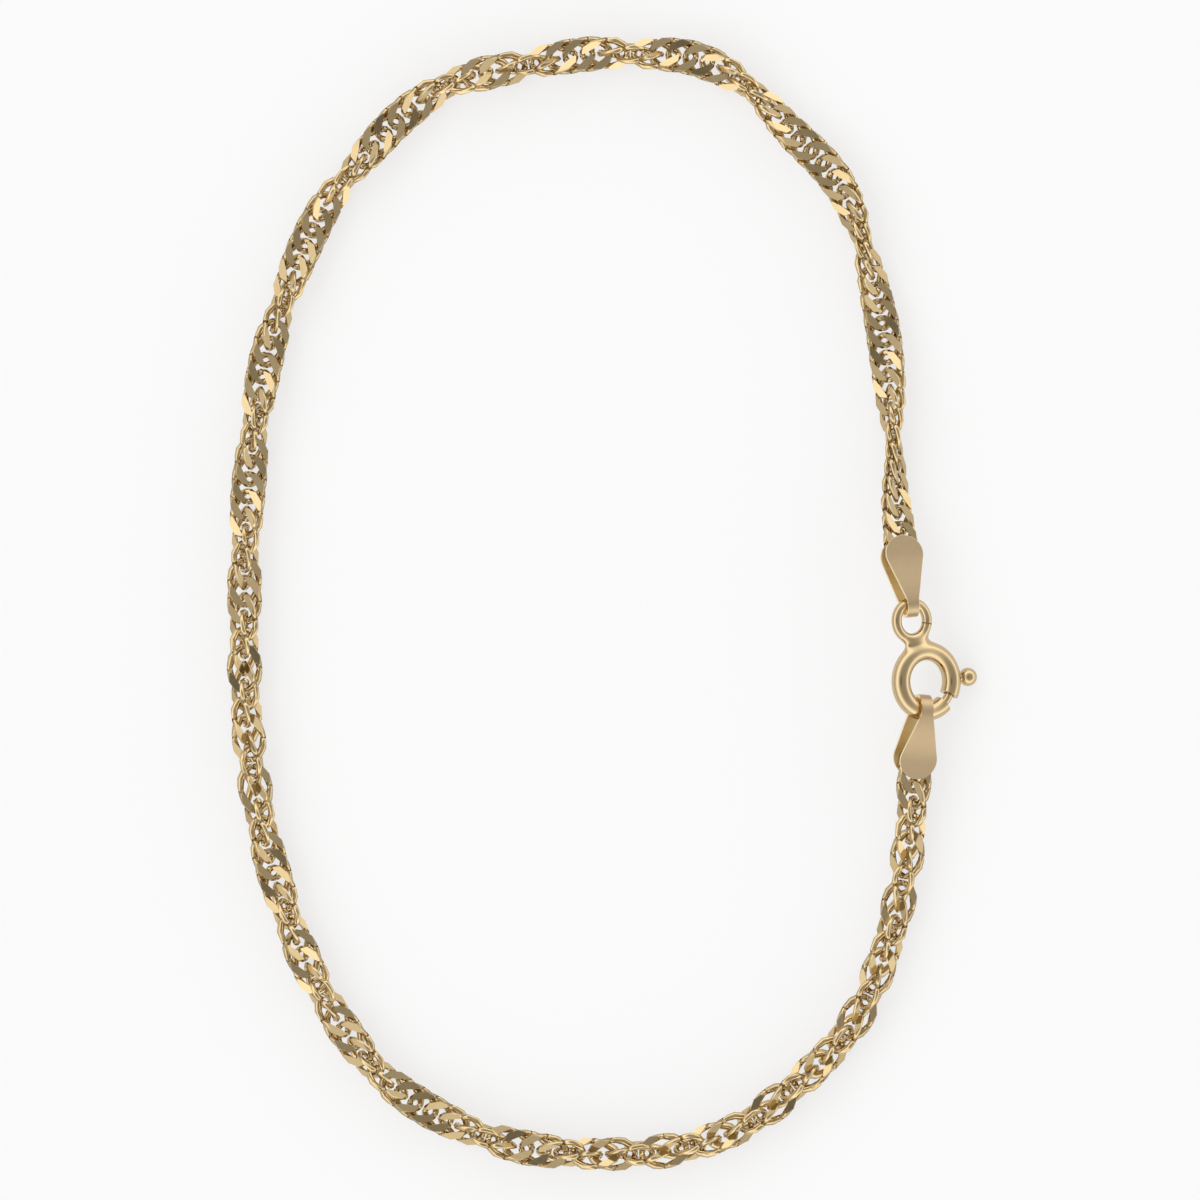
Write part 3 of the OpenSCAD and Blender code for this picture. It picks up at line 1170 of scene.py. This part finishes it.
@dataclass
class SlidingBolt(ClaspPart):
    """The bent bar that shuts the mouth, with the stem and ball that draw it back."""

    body = Body.BOLT
    place: ClaspPlace
    name: str = "sliding_bolt"
    node: str = "clasp_bolt"
    bar: float = 0.8
    tip: float = -57.0
    tail: float = 38.0
    stem: float = 0.5
    stem_melt: float = 0.06
    ball_melt: float = 0.12
    cell: float = 0.07
    margin: float = 0.2
    low: Point = (0.8, -3.2, -1.0)
    high: Pair = (2.6, 1.0)

    def metal(self, points: Array) -> Array:
        """Measures bar, stem and ball as one melted form.

        Args:
            points: Points in the ring's own plane.

        Returns:
            Their distances to the form.
        """
        place = self.place
        radius = place.ring_radius
        tip, tail, turn = (math.radians(v) for v in (self.tip, self.tail, place.trigger_angle))
        near = np.clip(np.arctan2(points[:, 1], points[:, 0]), tip, tail)
        spine = np.stack([radius * np.cos(near), radius * np.sin(near), 0 * near], -1)
        bar = np.linalg.norm(points - spine, axis=1) - self.bar / 2
        way = np.array([math.cos(turn), math.sin(turn), 0.0])
        reach = np.clip(points @ way, radius, place.ball_distance)
        stem = np.linalg.norm(points - reach[:, None] * way, axis=1) - self.stem / 2
        ball = np.linalg.norm(points - place.ball_distance * way, axis=1) - place.ball / 2
        return melt(melt(bar, stem, self.stem_melt), ball, self.ball_melt)

    def build(self, finish: Material) -> Piece:
        """Builds the bolt in its place.

        Args:
            finish: The bolt's material.

        Returns:
            The finished piece.
        """
        far = self.place.ball_distance + self.place.ball / 2 + self.margin
        points, faces = MeltedForm(self.metal, self.low, (far, *self.high), self.cell).build()
        mesh = mesh_from(self.name, self.place.place_all(points), faces)
        mesh.materials.append(finish)
        return new_object(self.name, mesh)


@dataclass
class Studio:
    """The white table, the light tent with its darker top, and the camera above.

    A stop of the tent is a height, 0 below to 1 along its leaned axis, and the light there. The
    top hole gives how straight up its rim and its middle lie, and its light.
    """

    table_half: float = 1.5
    view_width: float = 104.28
    middle: Point = (-0.2, 0.16, 1.5)
    distance: float = 900.0
    film: float = 36.0
    clip: Pair = (0.01, 10.0)
    tent: tuple[Pair, ...] = (
        (0.3, 0.6), (0.5, 0.9), (0.6, 1.6), (0.74, 1.8), (0.8, 1.3),
        (0.86, 0.82), (0.9, 0.57), (0.97, 0.46),
    )
    tent_lean: float = 20.0
    top_hole: Point = (0.976, 0.997, 0.42)

    def floor(self) -> None:
        """Lays the white table."""
        half = self.table_half
        corners = [(-half, -half, 0), (half, -half, 0), (half, half, 0), (-half, half, 0)]
        mesh = bpy.data.meshes.new("table")
        mesh.from_pydata(corners, [], [(0, 1, 2, 3)])
        mesh.materials.append(FloorFinish().make())
        new_object("table", mesh)

    def light(self) -> None:
        """Hangs the tent as a world: bright walls, a leaned grey roof and a dark hole on top."""
        world = bpy.data.worlds.new("tent")
        bpy.context.scene.world = world
        world.use_nodes = True
        tree = world.node_tree
        add = partial(new_node, tree)
        place = add("ShaderNodeTexCoord").outputs["Generated"]

        def towards(axis: Point) -> Socket:
            """Adds how straight a direction points along an axis, and returns it."""
            made = add("ShaderNodeVectorMath", {0: place, 1: axis}, operation="DOT_PRODUCT")
            return made.outputs["Value"]

        lean, (rim, middle, dark) = math.radians(self.tent_lean), self.top_hole
        height = towards((math.sin(lean), 0.0, math.cos(lean)))
        ramp = add("ShaderNodeValToRGB", {0: ranged(tree, height, (-1.0, 1.0), (0.0, 1.0))})
        hole = ranged(tree, towards((0.0, 0.0, 1.0)), (rim, middle), (1.0, dark))
        feed(tree.nodes["Background"], {"Color": ramp.outputs["Color"], "Strength": hole})
        stops = ramp.color_ramp.elements
        given = {self.tent[0]: 0, self.tent[-1]: -1}
        for spot, level in self.tent:
            number = given.get((spot, level))
            stop = stops.new(spot) if number is None else stops[number]
            stop.position = spot
            stop.color = (level, level, level, 1.0)

    def camera(self) -> None:
        """Sets the camera straight above, framed as the photograph."""
        data = bpy.data.cameras.new("overhead")
        data.sensor_width = self.film
        data.lens = self.film * self.distance / self.view_width
        data.clip_start, data.clip_end = self.clip
        x, y, z = self.middle
        made = bpy.data.objects.new("overhead", data)
        made.location = (x * MM, y * MM, (self.distance + z) * MM)
        bpy.context.scene.collection.objects.link(made)
        bpy.context.scene.camera = made

    def build(self) -> None:
        """Sets up the whole studio."""
        self.floor()
        self.light()
        self.camera()
        bpy.context.scene.view_settings.view_transform = "Standard"


@dataclass
class Anklet:
    """The whole chain with its clasp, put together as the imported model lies."""

    clasp: ClaspPlace = field(default_factory=ClaspPlace)
    link: CurbLink = field(default_factory=CurbLink)
    upper_fold_clear: float = 0.55
    upper_fold_drop: float = 0.27
    upper_fold_angle: float = 98.0
    upper_turns: Point = (99.0, 11.5, 16.0)
    upper_swing: float = -4.0
    lower_fold_clear: float = 0.365
    lower_fold_angle: float = -100.0
    lower_turns: Point = (-98.0, 10.5, -20.0)
    lower_swing: float = 9.0
    post_slack: float = 0.32

    def tags(self) -> tuple[FoldedTag, FoldedTag]:
        """Hangs each tag on its part of the clasp.

        Returns:
            The upper and the lower tag.
        """
        clasp = self.clasp
        on_eye = clasp.place(clasp.eye_centre + ray(self.upper_fold_angle) * clasp.eye_radius)
        on_ring = clasp.place(ray(self.lower_fold_angle) * clasp.ring_radius)
        on_eye -= Vector((0, 0, self.upper_fold_drop))
        upper = TagPlace(on_eye, clasp.eye_wire / 2 + self.upper_fold_clear, self.upper_turns)
        lower = TagPlace(on_ring, clasp.tube / 2 + self.lower_fold_clear, self.lower_turns)
        return (
            FoldedTag("upper_end_tag", "upper_tag", upper),
            FoldedTag("lower_end_tag", "lower_tag", lower),
        )

    def build(self) -> None:
        """Builds and dresses every piece."""
        upper, lower = self.tags()
        reach = self.link.half_length - self.link.wire / 2 - upper.post / 2 - self.post_slack
        post = upper.length - upper.post_back
        start = upper.place.end_link(post, reach, self.upper_swing)
        finish = lower.place.end_link(post, reach, self.lower_swing)
        route = ChainRoute(self.link, start, finish)
        chain_gold, leaf_gold, clasp_gold, inner_gold_painted_light, rim_gold_painted_highlight = (
            gold.make() for gold in (CHAIN_GOLD, LEAF_GOLD, CLASP_GOLD, INNER_GOLD_PAINTED_LIGHT, RIM_GOLD_PAINTED_HIGHLIGHT)
        )
        TwistedChain(self.link, route).dress(chain_gold)
        upper.dress(leaf_gold, inner_gold_painted_light, rim_gold_painted_highlight)
        lower.dress(leaf_gold, inner_gold_painted_light, rim_gold_painted_highlight)
        BoltRing(self.clasp).dress(clasp_gold)
        SlidingBolt(self.clasp).dress(clasp_gold)


def main() -> None:
    """Builds the studio and the anklet."""
    logging.basicConfig(level=logging.INFO, format="%(name)s: %(message)s")
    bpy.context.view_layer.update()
    Studio().build()
    Anklet().build()


if __name__ == "__main__":
    main()
